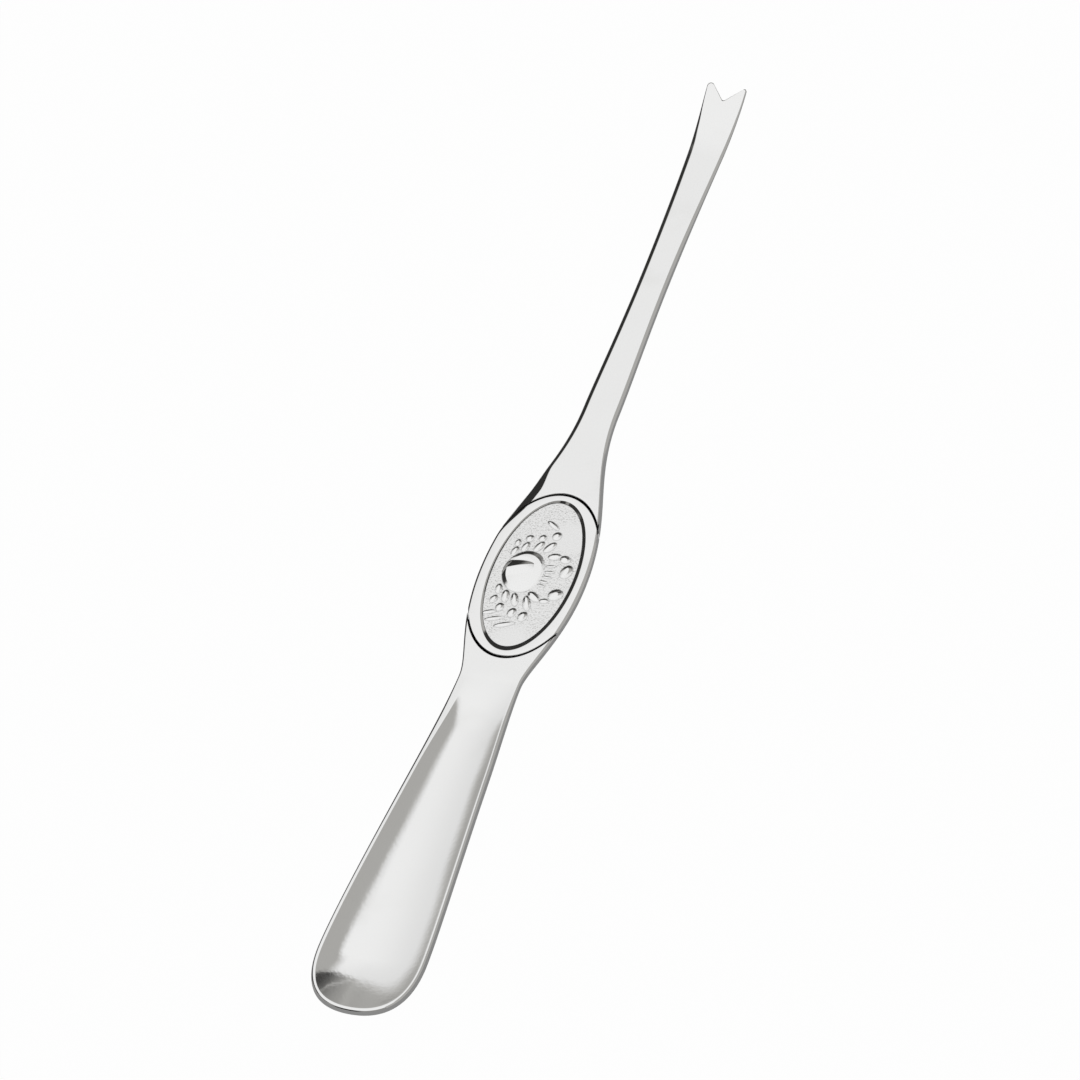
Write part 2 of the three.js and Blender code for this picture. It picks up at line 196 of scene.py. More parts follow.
# Right half of the plan, from the scoop's end to the root of the notch
def halfOutline(radius, b=forkBody):
    steps = b["outlineSteps"]
    scoop, neck, boss = b["scoopWidth"] / 2, b["neckWidth"] / 2, b["bossWidth"] / 2
    shoulder, shank, fork = b["shoulderWidth"] / 2, b["shankWidth"] / 2, b["forkWidth"] / 2
    endHold, cornerHold = b["scoopEndHold"]
    corner = b["scoopCentre"] - cornerHold * (b["scoopCentre"] - b["scoopEnd"])
    flareEnd = b["tip"] - max(b["prongRadius"])
    prong = np.array([fork - radius, b["tip"] - radius])
    root = np.array([0, b["tip"] - b["notchDepth"] + b["notchRadius"]])
    across = root - prong
    swing = math.acos((radius + b["notchRadius"]) / np.hypot(*across))
    touch = math.atan2(across[1], across[0]) % (2 * math.pi) - swing
    prongArc = arc(prong, radius, 0, touch, steps[6])
    rootArc = arc(root, b["notchRadius"], touch - math.pi, -math.pi / 2, steps[8])
    notchSide = np.linspace(prongArc[-1], rootArc[0], steps[7] + 1)
    curves = [
        cubicCurve((0, b["scoopEnd"]), (scoop * endHold, b["scoopEnd"]), (scoop, corner),
                   (scoop, b["scoopCentre"]), steps[0]),
        sideCurve(scoop, b["scoopCentre"], neck, b["neck"], b["scoopSideHold"], steps[1]),
        sideCurve(neck, b["neck"], boss, 0, b["waistHold"], steps[2]),
        sideCurve(boss, 0, shoulder, b["shoulder"], b["shoulderHold"], steps[3]),
        sideCurve(shoulder, b["shoulder"], shank, b["narrow"], b["shankHold"], steps[4]),
        sideCurve(shank, b["narrow"], fork, flareEnd, b["flareHold"], steps[5]),
        np.linspace((fork, flareEnd), prongArc[0], b["prongSideSteps"] + 1),
        prongArc, notchSide, rootArc,
    ]
    return np.concatenate([curves[0]] + [curve[1:] for curve in curves[1:]])


# Rise of the bowl from its floor, 0, to the rim, 1: the square of the share of the way out across
# the scoop; towards its end the share less a logarithm of it, which soon gets steep and stays so
def bowlRise(share, endward, y, b=forkBody):
    c = b["endEase"]
    soon = (share - c * np.log1p(share / c)) / (1 - c * math.log1p(1 / c))
    return share ** 2 + (soon - share ** 2) * np.where(y < b["scoopCentre"], endward, 0)


# Share of the way to the tip's own edge
def tipShare(y, b=forkBody):
    return ease(y, b["narrow"], b["tip"] - b["tipBend"], 0, 1)


# Way that the right side, whose edge is upright and shows in full, is set in
def rightInset(y, b=forkBody):
    return b["rightInset"] * ease(y, b["crestEnd"], b["neck"], 0, 1) * (1 - tipShare(y))


# Value of the edge at places of the outline
def edgeValue(x, y, key, b=forkBody):
    left, right, rim = b[key]
    plain = np.where(x < 0, left, right + (left - right) * tipShare(y))
    return plain + (rim - plain) * rimShare(y)


# Skin of the fork before the seat is cut. At each place of the outline a section runs from the
# spine out along the face, round the edge and back underneath. Face: a parabola of the share of
# the way out, then a short parabola up on to the flat crest. Edge: a straight bevel between two
# quadratic curves. Underside: a parabola under the scoop, elsewhere a flat and a quarter ellipse.
def bodySkin(b=forkBody):
    left, right = (halfOutline(radius) for radius in b["prongRadius"])
    left = left[-2:0:-1] * (-1, 1)
    shorter = ease(right[:, 1], b["fanStart"], b["tip"], 0, b["rightShort"])
    right[:, 1] -= shorter * right[:, 0] / (b["forkWidth"] / 2)  # the right prong alone
    right[:, 0] -= rightInset(right[:, 1])
    edge = np.concatenate([right, left])
    spineY = np.clip(edge[:, 1:], b["scoopCentre"], b["fanStart"])
    out = edge - np.concatenate([0 * spineY, spineY], 1)
    reach = np.hypot(*out.T)[:, None]
    out = out / reach
    edgeY = edge[:, 1:]
    rounding = edgeRound(edge[:, :1], edgeY)
    leftCrest, rightCrest = (ease(edgeY, b["neck"], b["crestEnd"], *ends)
                             for ends in zip(b["neckCrest"], b["rimCrest"]))
    leftShare = np.clip(-out[:, :1], 0, 1) ** 2
    inner = reach - rounding - rightCrest - (leftCrest - rightCrest) * leftShare
    widest = b["scoopWidth"] / 2 - b["scoopRound"] - b["rimCrest"][0]
    evenly = reach - rounding - leftCrest + np.where(edge[:, :1] > 0, rightInset(edgeY), 0)
    depth = b["scoopDepth"] * np.where(edgeY < b["scoopCentre"], 1, evenly / widest)
    depth = depth * ease(spineY, b["hollowStart"], b["hollowStart"] - b["hollowRamp"], 0, 1)
    belly = ease(edgeY, b["neck"], b["scoopCentre"], 0, 1)
    back = b["backRound"] + (reach / 2 - b["backRound"]) * belly
    soft = b["rimSoft"]
    bowlSteps, softSteps, crestSteps, kneeSteps, bevelSteps, lipSteps, underSteps, flatSteps = \
        b["profileSteps"]

    share = np.linspace(0, 1, bowlSteps + 1) * (inner - soft) / inner
    bowlAt, bowlDip = inner * share, depth * (1 - bowlRise(share, out[:, 1:] ** 2, edgeY))
    share = np.linspace(0, 1, softSteps + 1)[1:]
    softAt, softDip = inner - soft + 2 * soft * share, bowlDip[:, -1:] * (1 - share) ** 2
    angle, straight, lipDrop = (edgeValue(edge[:, :1], edgeY, key)
                                for key in ("bevelAngle", "bevelShare", "lipDrop"))
    start, full, last, end = b["wedgeAt"]
    wedge = (ease(edgeY, start, full, 0, 1) - ease(edgeY, last, end, 0, 1)) * (edge[:, :1] < 0)
    fall = np.tan(np.radians(angle - b["wedgeFlat"] * wedge))
    bevelAt, lipWidth = reach - rounding, (1 - straight) * rounding
    bevelEnd = straight * rounding * fall
    edgeDrop = bevelEnd + lipDrop
    knee = np.minimum(b["bevelSoft"], b["bevelSoftMost"] * straight * rounding)
    share = np.linspace(0, 1, crestSteps + 1)[1:-1]
    crestStart = inner + soft
    crestAt = crestStart + (bevelAt - knee - crestStart) * share
    kneeAt, kneeDip = bend((bevelAt - knee, 0), (bevelAt, 0), (bevelAt + knee, knee * fall),
                           kneeSteps)
    share = np.linspace(0, 1, bevelSteps + 1)[1:-1]
    slopeAt = bevelAt + knee + (reach - lipWidth - bevelAt - knee) * share
    lipAt, lipDip = bend((reach - lipWidth, bevelEnd), (reach, bevelEnd + lipWidth * fall),
                         (reach, edgeDrop), lipSteps)
    faceAt = np.concatenate([bowlAt, softAt, crestAt, kneeAt, slopeAt, lipAt], 1)
    faceDip = np.concatenate([bowlDip, softDip, 0 * crestAt, kneeDip + 0 * kneeAt,
                              (slopeAt - bevelAt) * fall, lipDip], 1)
    faceZ = faceHeight(spineY + out[:, 1:] * faceAt) - faceDip

    turn = np.linspace(np.pi / 2, 0, underSteps + 1)[1:]
    share = np.linspace(1, 0, flatSteps + 1)[1:]
    backAt = np.concatenate([reach - back * (1 - np.sin(turn)), (reach - back) * share], 1)
    plain = np.concatenate([1 - np.cos(turn), 0 * share])
    backY = spineY + out[:, 1:] * backAt
    lift = faceHeight(backY) - edgeDrop - backHeight(backY)
    backZ = backHeight(backY) + lift * (plain + ((backAt / reach) ** 2 - plain) * belly)

    at = np.concatenate([faceAt, backAt], 1)
    z = np.concatenate([faceZ, backZ], 1)
    return np.stack([out[:, :1] * at, spineY + out[:, 1:] * at, z], 2)


# Triangles over a grid whose rows close on themselves; its columns close too where asked
def gridTriangles(rows, columns, closed):
    i = np.arange(rows)[:, None]
    j = np.arange(columns if closed else columns - 1)[None, :]
    nextRow, nextColumn = (i + 1) % rows, (j + 1) % columns
    a, b = i * columns + j, i * columns + nextColumn
    c, d = nextRow * columns + nextColumn, nextRow * columns + j
    return np.concatenate([np.stack([a, b, c], 2), np.stack([a, c, d], 2)]).reshape(-1, 3)


# Object from points in millimetres: equal points are merged and flat triangles dropped
def makePiece(name, points, triangles):
    keys = np.round(points / mergeWithin).astype(np.int64)
    _, first, where = np.unique(keys, axis=0, return_index=True, return_inverse=True)
    corners = where.reshape(-1)[triangles]
    a, b, c = corners.T
    corners = corners[(a != b) & (b != c) & (c != a)]
    mesh = bpy.data.meshes.new(name)
    mesh.from_pydata((points[first] - (0, forkBody["middle"], 0)) * mm, [], corners)
    mesh.update()
    piece = bpy.data.objects.new(name, mesh)
    bpy.context.scene.collection.objects.link(piece)
    return piece, first


def makeLoft(name, grid, closed):
    rows, columns = grid.shape[:2]
    return makePiece(name, grid.reshape(-1, 3), gridTriangles(rows, columns, closed))[0]


# Boolean of a piece with a tool, kept as the piece's own mesh
def cutWith(piece, tool, operation):
    cut = piece.modifiers.new("cut", "BOOLEAN")
    cut.operation, cut.solver, cut.object = operation, "EXACT", tool
    shown = piece.evaluated_get(bpy.context.evaluated_depsgraph_get())
    before, after = piece.data, bpy.data.meshes.new_from_object(shown)
    piece.modifiers.clear()
    piece.data = after
    bpy.data.meshes.remove(before)


def smooth(piece, angle):
    piece.data.shade_smooth()
    piece.data.set_sharp_from_angle(angle=math.radians(angle))


# The ring lies in a seat that is cut across the boss, and the plaque lies inside the ring. Pairs
# are for the sides and for the ends.
ringSeat = {
    "window": (14.2, 30.7), "windowSlope": (0.375, 0.63), "band": (2.2, 0.95),
    "footShift": (-0.235, 0.34),  # of the inner wall's foot and the plaque, along x and y
    "seatDepth": 1.0, "clearance": 0.1, "grooveWidth": (0.2, 0.56), "grooveDepth": 0.45,
    "fieldDepth": 0.33, "plaqueClearance": 0.06,
    "topDrop": 0.004,  # keeps the ring's top off the plane of the face
    "lip": 0.06, "lipSteps": 5,  # softened edges
    "beyond": 1.0,  # way past a corner that its softened edge is drawn from
    "shadeReach": (0.02, 0.06), "shadeDown": 0.05,  # how far the painted shade goes past the groove
    "shadeSide": 0.5,  # it stops at that share of the bevel
    "steps": 420,
}
faceZ = forkBody["bossThickness"]
seatZ = faceZ - ringSeat["seatDepth"]
fieldZ = faceZ - ringSeat["fieldDepth"]
grooveZ = faceZ - ringSeat["grooveDepth"]
grooveSide = (np.array(ringSeat["grooveWidth"]) - ringSeat["clearance"]) / 2
window = np.array(ringSeat["window"]) / 2
windowFoot = window - ringSeat["windowSlope"]
bezel = window + ringSeat["band"]


# Oval at a height: half its width, half its length, the height and the shift along x and y
def oval(halves, height, shift=(0, 0)):
    return np.array([*halves, height, *shift], float)


# Corner of a profile, softened by a quadratic curve from one side of it to the other
def softCorner(before, corner, after, s=ringSeat):
    start = corner + (before - corner) * s["lip"] / np.linalg.norm((before - corner)[1:3])
    end = corner + (after - corner) * s["lip"] / np.linalg.norm((after - corner)[1:3])
    t = np.linspace(0, 1, s["lipSteps"])[:, None]
    return list((1 - t) ** 2 * start + 2 * (1 - t) * t * corner + t ** 2 * end)


# Rings round the middle of the boss: half the width times the cosine and half the length times
# the sine of the turn
def ovalRings(profile, steps=ringSeat["steps"]):
    turn = np.linspace(0, 2 * np.pi, steps, endpoint=False)[:, None]
    width, length, height, shiftX, shiftY = np.array(profile).T
    x = width * np.cos(turn) + shiftX
    return np.stack([x, length * np.sin(turn) + shiftY, height + 0 * x], 2)


def seatTool(s=ringSeat):
    wall = bezel + grooveSide + s["clearance"]
    mouth = wall + grooveSide
    top = faceZ + s["beyond"]
    lip = softCorner(oval(mouth + s["beyond"], faceZ), oval(mouth, faceZ), oval(wall, grooveZ))
    sides = [oval(lip[0][:2], top), *lip, oval(wall, grooveZ), oval(wall, seatZ)]
    return ovalRings([oval((0, 0), top), *sides, oval((0, 0), seatZ)])


def ringBlank(s=ringSeat):
    top = faceZ - s["topDrop"]
    innerFoot, base = (oval(windowFoot, z, s["footShift"]) for z in (fieldZ, seatZ))
    inner = softCorner(innerFoot, oval(window, top), oval(window + s["beyond"], top))
    foot = bezel + grooveSide
    outer = softCorner(oval(bezel - s["beyond"], top), oval(bezel, top), oval(foot, grooveZ))
    return ovalRings([base, innerFoot, *inner, *outer, oval(foot, grooveZ), oval(foot, seatZ)])


# Share of the groove's depth at each point of a piece, kept for the painted shade in the groove:
# near-black
#  colour where the crevice is in shade, reaching onto the bevel beside it. The way out from the
#  ring's oval is its share less one, over the slope of that share.
def markGroove(piece, s=ringSeat):
    places = np.empty(3 * len(piece.data.vertices), np.float32)
    piece.data.vertices.foreach_get("co", places)
    x, y, z = (places.reshape(-1, 3) / mm + (0, forkBody["middle"], 0)).T
    share = np.hypot(x / bezel[0], y / bezel[1])
    slope = np.hypot(x / bezel[0] ** 2, y / bezel[1] ** 2) / np.maximum(share, tiny)
    out = (share - 1) / np.maximum(slope, tiny)
    right = halfOutline(forkBody["prongRadius"][1])
    side = np.interp(y, right[:, 1], right[:, 0]) - np.where(x > 0, rightInset(y), 0)
    sideWidth, endWidth = s["grooveWidth"]
    width = sideWidth + (endWidth - sideWidth) * np.abs(y) / bezel[1] / np.maximum(share, tiny)
    inside, outside = s["shadeReach"]
    near = (out > -inside) & (out < width + outside)
    near = near & (np.abs(x) < side - s["shadeSide"] * edgeRound(x, y))
    near = near & (z > seatZ - s["shadeDown"])  # not the back of the boss
    # Painted shade: strongest where the groove is deepest
    depth = np.clip((faceZ - z) / s["grooveDepth"], 0, 1) * near
    layer = piece.data.attributes.new("groove", "FLOAT", "POINT")
    layer.data.foreach_set("value", depth.astype(np.float32))


skin = bodySkin()
body = makeLoft("forkBody", skin, False)
ring = makeLoft("medallionRing", ringBlank(), True)
tool = makeLoft("seatTool", seatTool(), False)
cutWith(ring, body, "INTERSECT")
cutWith(body, tool, "DIFFERENCE")
bpy.data.objects.remove(tool)
for piece in (body, ring):
    smooth(piece, forkBody["sharpAngle"])
    markGroove(piece)
print("body:", len(body.data.polygons), "faces, ring:", len(ring.data.polygons), "faces")

# The crab on its plaque. Each lump: x, y, length, width, and degrees from +X.
crabPlaque = {
    "across": 200, "along": 430, "sharpAngle": 60,  # points of the grid, and its sharp edges
    "shell": (-1.8, 0.55, 6.8, 8.4, 0.2),
    "shellEdge": (0.25, 0.75),  # height and width of the shell's sloping border
    "shellFront": (-3.5, 2.5), "shellFall": 0.9,  # the shell sinks towards the front
    "shellLine": 0.3,  # and there its outline gets no painted shade
    "ridge": (-2.45, 1.45, 24), "ridgeHalf": 1.95, "ridgeHeight": 0.46,
    "ridgeWidth": (1.7, 1.8, 0.9),  # near side, dark far side, and the way up again
    "ridgeFade": 0.6, "ridgeLeast": 0.001,  # power of its fading along its length, and the end
    "legs": [
        (-4.5, 4.25, 2.0, 1.15, 80), (-4.55, 6.0, 1.4, 0.95, 88),
        (-3.1, 5.4, 2.1, 1.15, 76), (-2.95, 7.2, 1.4, 1.25, 70),
        (-1.0, 5.85, 2.4, 1.2, 66), (-0.95, 7.6, 1.4, 1.2, 70),
        (0.75, 6.0, 2.6, 1.3, 58), (1.15, 8.4, 1.7, 1.5, 75),
        (-0.1, 10.4, 2.6, 0.9, 148),
        (-4.6, -3.5, 2.0, 1.15, 100), (-4.75, -5.6, 1.7, 1.1, 72),
        (-3.1, -4.7, 2.5, 1.25, 100), (-3.3, -7.0, 1.7, 1.3, 85),
        (-4.6, -8.2, 2.4, 0.8, 22),
        (-1.45, -5.1, 2.7, 1.2, 110), (-1.05, -7.7, 1.9, 1.4, 80),
        (-3.35, -9.3, 3.2, 0.8, 20),
        (0.65, -5.45, 3.1, 1.3, 110), (0.85, -8.15, 2.0, 1.5, 80),
        (-1.5, -10.2, 3.4, 0.9, 22),
    ],
    "claws": [
        (2.1, 4.35, 2.2, 1.3, 15), (3.9, 4.1, 1.8, 1.5, -20),
        (4.85, 1.75, 2.8, 1.9, 80),
        (1.35, -4.0, 2.6, 1.4, -35), (3.2, -4.5, 1.6, 0.95, 12),
        (4.6, -3.0, 2.5, 2.2, 40),
    ],
    "mouth": [
        (2.1, 2.35, 1.7, 0.5, 12), (2.25, 1.2, 1.7, 0.5, 5),
        (2.15, 0.15, 1.6, 0.5, 0), (1.95, -0.85, 1.5, 0.5, -6),
        (1.75, -1.6, 1.3, 0.45, -10),
    ],
    # Slope of a lump's border, and its width as a share of the lump's
    "lumpSlope": 0.49, "lumpBorder": 0.36,
    "lumpLean": 0.85, "leanWay": (-0.8, 0.6),  # lumps are higher on that side
    "borderWidth": 0.1,  # painted shade, a dark line along the plaque's edge where it meets the ring
    "creaseWidth": 0.09,  # and painted shade round the crab's forms
    "formFoot": 0.06,  # height by which creases and pits have ended
    "pitSpacing": 0.33, "pitDepth": 0.028, "pitRadius": 0.19, "seed": 7,
    "pitNet": 96, "pitLeast": 0.25,  # squares of the net, and the shallowest pit's share
    "smoothSpots": [(3.5, 8.5, 4.5), (0.5, -13.0, 4.0)],  # x, y and radius where few pits are
    "smoothCore": 0.4, "smoothLeft": 0.1,  # share of that radius, and of the pits inside it
}


# Way along and aside of a place that is turned by an angle
def turned(x, y, px, py, angle):
    c, s = math.cos(math.radians(angle)), math.sin(math.radians(angle))
    return (x - px) * c + (y - py) * s, (y - py) * c - (x - px) * s


# Lump: a flat top on a straight border, both high on one side and sinking to the other. The way in
# from its oval is one less its share, over the slope of that share; it is returned too.
def lumpHeight(x, y, place, p=crabPlaque):
    px, py, length, width, angle = place
    along, aside = turned(x, y, px, py, angle)
    share = np.hypot(2 * along / length, 2 * aside / width)
    slope = np.hypot(4 * along / length ** 2, 4 * aside / width ** 2) / np.maximum(share, tiny)
    inward = (1 - share) / np.maximum(slope, 2 / length)
    wayX, wayY = p["leanWay"]
    wayAlong, wayAside = turned(wayX, wayY, 0, 0, angle)
    reach = 1 / math.hypot(2 * wayAlong / length, 2 * wayAside / width)
    across = np.clip(((x - px) * wayX + (y - py) * wayY) / reach, -1, 1)
    lean = (1 + p["lumpLean"] * across) / (1 + p["lumpLean"])
    return p["lumpSlope"] * np.clip(inward, 0, p["lumpBorder"] * width) * lean, inward


# Shell: a low paraboloid on a straight border, both sinking to the front. A fold runs over it:
# up gently to a crest, straight down on the far side and up again, all getting lower along its
# length. The way in from the shell's edge is returned too.
def shellHeight(x, y, p=crabPlaque):
    px, py, length, width, height = p["shell"]
    out = np.hypot(2 * (x - px) / length, 2 * (y - py) / width)
    inward = (1 - out) * (length + width) / 4
    rise, border = p["shellEdge"]
    climb = np.clip(inward / border, 0, 1)
    dome = rise * climb + height * np.maximum(1 - out ** 2, 0)
    along, aside = turned(x, y, *p["ridge"])
    near, far, again = p["ridgeWidth"]
    half = p["ridgeHalf"]
    size = np.clip((half - along) / (2 * half), p["ridgeLeast"], 1) ** p["ridgeFade"]
    foot = far * size
    fold = np.where(aside < 0, ease(aside, -near, 0, 0, 0.5), 0.5 - np.minimum(aside / foot, 1))
    fold = fold + ease(aside, foot, foot + again, 0, 0.5)
    front = ease(x, *p["shellFront"], 1, 0)
    relief = dome + p["ridgeHeight"] * size * fold * climb
    relief = relief * (1 - p["shellFall"] * (1 - front))
    return relief, np.where(front > p["shellLine"], inward, -1)


# The whole crab: the highest form at each point, and how near the edge of a form is there, which
# carries painted shade in the creases
def crabHeight(x, y, p=crabPlaque):
    relief, inward = shellHeight(x, y)
    crease = 1 - np.abs(inward) / p["creaseWidth"]
    for place in p["legs"] + p["claws"] + p["mouth"]:
        height, inward = lumpHeight(x, y, place)
        relief = np.maximum(relief, height)
        crease = np.maximum(crease, 1 - np.abs(inward) / p["creaseWidth"])
    return relief, np.maximum(crease, 0) * np.clip(1 - relief / p["formFoot"], 0, 1)


# Punched pits: a square net of seeded points, each moved at random inside its square, and a pit
# that is the square of one less the squared distance
def pitDepth(x, y, p=crabPlaque):
    draw = np.random.default_rng(p["seed"])
    net = p["pitNet"]
    jitter = draw.random((net, net, 2))
    strength = p["pitLeast"] + (1 - p["pitLeast"]) * draw.random((net, net))
    column = np.floor(x / p["pitSpacing"]).astype(int) + net // 2
    row = np.floor(y / p["pitSpacing"]).astype(int) + net // 2
    depth = np.zeros_like(x)
    for stepX in (-1, 0, 1):
        for stepY in (-1, 0, 1):
            i, j = column + stepX, row + stepY
            pitX = (i - net // 2 + jitter[j, i, 0]) * p["pitSpacing"]
            pitY = (j - net // 2 + jitter[j, i, 1]) * p["pitSpacing"]
            near = 1 - ((x - pitX) ** 2 + (y - pitY) ** 2) / p["pitRadius"] ** 2
            depth = np.maximum(depth, strength[j, i] * np.maximum(near, 0) ** 2)
    for spotX, spotY, radius in p["smoothSpots"]:
        away = np.hypot(x - spotX, y - spotY)
        depth = depth * ease(away, p["smoothCore"] * radius, radius, p["smoothLeft"], 1)
    return p["pitDepth"] * depth


# Plaque: a square grid bent to the oval, x as u times the root of 1 - v²/2 and y likewise, lifted
# by the crab's relief and sunk by the pits; its wall goes down to the seat
def plaqueSkin(p=crabPlaque):
    foot = windowFoot - ringSeat["plaqueClearance"]
    u, v = np.meshgrid(np.linspace(-1, 1, p["across"]), np.linspace(-1, 1, p["along"]))
    x = foot[0] * u * np.sqrt(1 - v ** 2 / 2)
    y = foot[1] * v * np.sqrt(1 - u ** 2 / 2)
    inward = np.minimum((1 - np.abs(u)) * foot[0], (1 - np.abs(v)) * foot[1])
    x, y = x + ringSeat["footShift"][0], y + ringSeat["footShift"][1]
    relief, crease = crabHeight(x, y)
    pits = pitDepth(x, y) * np.clip(1 - relief / p["formFoot"], 0, 1)
    z = fieldZ + relief - pits
    top = np.stack([x, y, z], 2)

    rows, columns = x.shape
    index = np.arange(rows * columns).reshape(rows, columns)
    a, b, c, d = index[:-1, :-1], index[:-1, 1:], index[1:, 1:], index[1:, :-1]
    triangles = np.concatenate([np.stack([a, b, c], 2), np.stack([a, c, d], 2)]).reshape(-1, 3)
    border = np.concatenate([index[0, :-1], index[:-1, -1], index[-1, :0:-1], index[:0:-1, 0]])
    points = top.reshape(-1, 3)
    low = points[border] * (1, 1, 0) + (0, 0, seatZ)
    lowIndex = len(points) + np.arange(len(border))
    centre = len(points) + len(border)
    after, lowAfter = np.roll(border, -1), np.roll(lowIndex, -1)
    walls = np.concatenate([
        np.stack([border, lowIndex, lowAfter], 1),
        np.stack([border, lowAfter, after], 1),
        np.stack([lowIndex, 0 * lowIndex + centre, lowAfter], 1),
    ])
    points = np.concatenate([points, low, [(0, 0, seatZ)]])
    floor = np.zeros(len(low) + 1)
    # crease and border carry the painted shade round the forms and along the plaque's edge
    layers = {"relief": relief, "pits": pits / p["pitDepth"], "crease": crease,
              "border": np.clip(1 - inward / p["borderWidth"], 0, 1)}
    layers = {name: np.concatenate([values.reshape(-1), floor]) for name, values in layers.items()}
    return points, np.concatenate([triangles, walls]), layers


points, triangles, layers = plaqueSkin()
plaque, first = makePiece("crabPlaque", points, triangles)
for name, values in layers.items():
    layer = plaque.data.attributes.new(name, "FLOAT", "POINT")
    layer.data.foreach_set("value", values[first].astype(np.float32))
smooth(plaque, crabPlaque["sharpAngle"])
print("plaque:", len(plaque.data.polygons), "faces")


# A node's output that can be used in sums
class Wire:
    def __init__(self, tree, socket=None):
        self.tree, self.socket = tree, socket

    def node(self, kind, settings=None, sockets=None, out=0):
        made = self.tree.nodes.new(kind)
        for key, value in (settings or {}).items():
            setattr(made, key, value)
        for key, value in (sockets or {}).items():
            if isinstance(value, Wire):
                self.tree.links.new(value.socket, made.inputs[key])
            else:
                made.inputs[key].default_value = value
        return Wire(self.tree, made.outputs[out] if made.outputs else None)

    def math(self, operation, first, second=0.0):
        return self.node("ShaderNodeMath", {"operation": operation}, {0: first, 1: second})

    def __add__(self, other):
        return self.math("ADD", self, other)

    def __sub__(self, other):
        return self.math("SUBTRACT", self, other)

    def __rsub__(self, other):
        return self.math("SUBTRACT", other, self)

    def __mul__(self, other):
        return self.math("MULTIPLY", self, other)

    __radd__, __rmul__ = __add__, __mul__

    # 0 at low and 1 at high, with a smooth way between
    def between(self, low, high):
        sockets = {"Value": self, "From Min": low, "From Max": high}
        return self.node("ShaderNodeMapRange", {"interpolation_type": "SMOOTHSTEP"}, sockets)

    def noise(self, where, scale, detail):
        sockets = {"Vector": where, "Scale": scale, "Detail": detail}
        return self.node("ShaderNodeTexNoise", None, sockets)

    def stretch(self, where, scale):
        return self.node("ShaderNodeMapping", None, {"Vector": where, "Scale": scale})

    # Bump of a height in metres, over another one where it is given
    def bump(self, height, distance, under=None):
        sockets = {"Strength": 1, "Distance": distance, "Height": height}
        return self.node("ShaderNodeBump", None, {**sockets, **(under or {})})

    def attribute(self, name):
        return self.node("ShaderNodeAttribute", {"attribute_name": name}, None, "Fac")

    def blend(self, share, low, high):
        settings = {"data_type": "RGBA"}
        return self.node("ShaderNodeMix", settings, {0: share, 6: low, 7: high}, 2)


def startMaterial(name):
    material = bpy.data.materials.new(name)
    material.use_nodes = True
    material.node_tree.nodes.clear()
    return material, Wire(material.node_tree)


# Polished steel: faint hand-polishing lines along the fork and a slight unevenness, with painted
# shade, near black, in the groove round the ring
polishedSteel = {
    "light": (0.86, 0.86, 0.855, 1), "dull": (0.80, 0.80, 0.79, 1),
    "grooveShade": (0.02, 0.02, 0.02, 1), "shadeDepth": (0.1, 0.35),  # painted shade in the groove round the ring
    "roughness": (0.05, 0.11), "lineRough": 0.04, "shadeRough": 0.4,
    "cloudScale": 90, "cloudRough": (0.35, 0.7), "cloudDull": (0.55, 0.85),  # slow unevenness
    "lineScale": (2600, 160, 2600), "lineBump": 0.00000006,
    "waveScale": 1500, "waveBump": 0.000004, "swellScale": 110, "swellBump": 0.00005,
}


def makePolished(p=polishedSteel):
    material, wire = startMaterial("polishedSteel")
    where = wire.node("ShaderNodeTexCoord", None, None, "Object")
    lines = wire.noise(wire.stretch(where, p["lineScale"]), 1, 3)
    wave = wire.noise(where, p["waveScale"], 1)
    cloud = wire.noise(where, p["cloudScale"], 3)
    low, high = p["roughness"]
    roughness = low + (high - low) * cloud.between(*p["cloudRough"])
    roughness = roughness + p["lineRough"] * (lines - 0.5)
    colour = wire.blend(cloud.between(*p["cloudDull"]), p["light"], p["dull"])
    # Painted shade: near black and rougher in the groove round the ring
    dark = wire.attribute("groove").between(*p["shadeDepth"])
    colour = wire.blend(dark, colour, p["grooveShade"])
    roughness = roughness + p["shadeRough"] * dark
    swell = wire.noise(where, p["swellScale"], 0)
    bump = wire.bump(swell, p["swellBump"])
    bump = wire.bump(wave, p["waveBump"], {"Normal": bump})
    bump = wire.bump(lines, p["lineBump"], {"Normal": bump})
    surface = wire.node("ShaderNodeBsdfPrincipled", None, {
        "Base Color": colour, "Metallic": 1, "Roughness": roughness, "Normal": bump})
    wire.node("ShaderNodeOutputMaterial", None, {"Surface": surface})
    return material


# Struck steel: matt in the pits and the field, brighter where the crab stands out; painted shade
# darkens the pits, the creases round the crab's forms and the plaque's edge
struckSteel = {
    "light": (0.86, 0.86, 0.855, 1), "pit": (0.62, 0.62, 0.61, 1), "paintedShade": (0.2, 0.2, 0.2, 1),
    "fieldRoughness": 0.24, "crabRoughness": 0.1, "wornHeight": (0.01, 0.12), "grainRough": 0.06,
    "pitShare": 0.8, "creaseShare": 0.55, "borderRange": (0.1, 0.8),  # how dark the painted shade gets in each
    "grainScale": 3500, "grainBump": 0.000004,
}


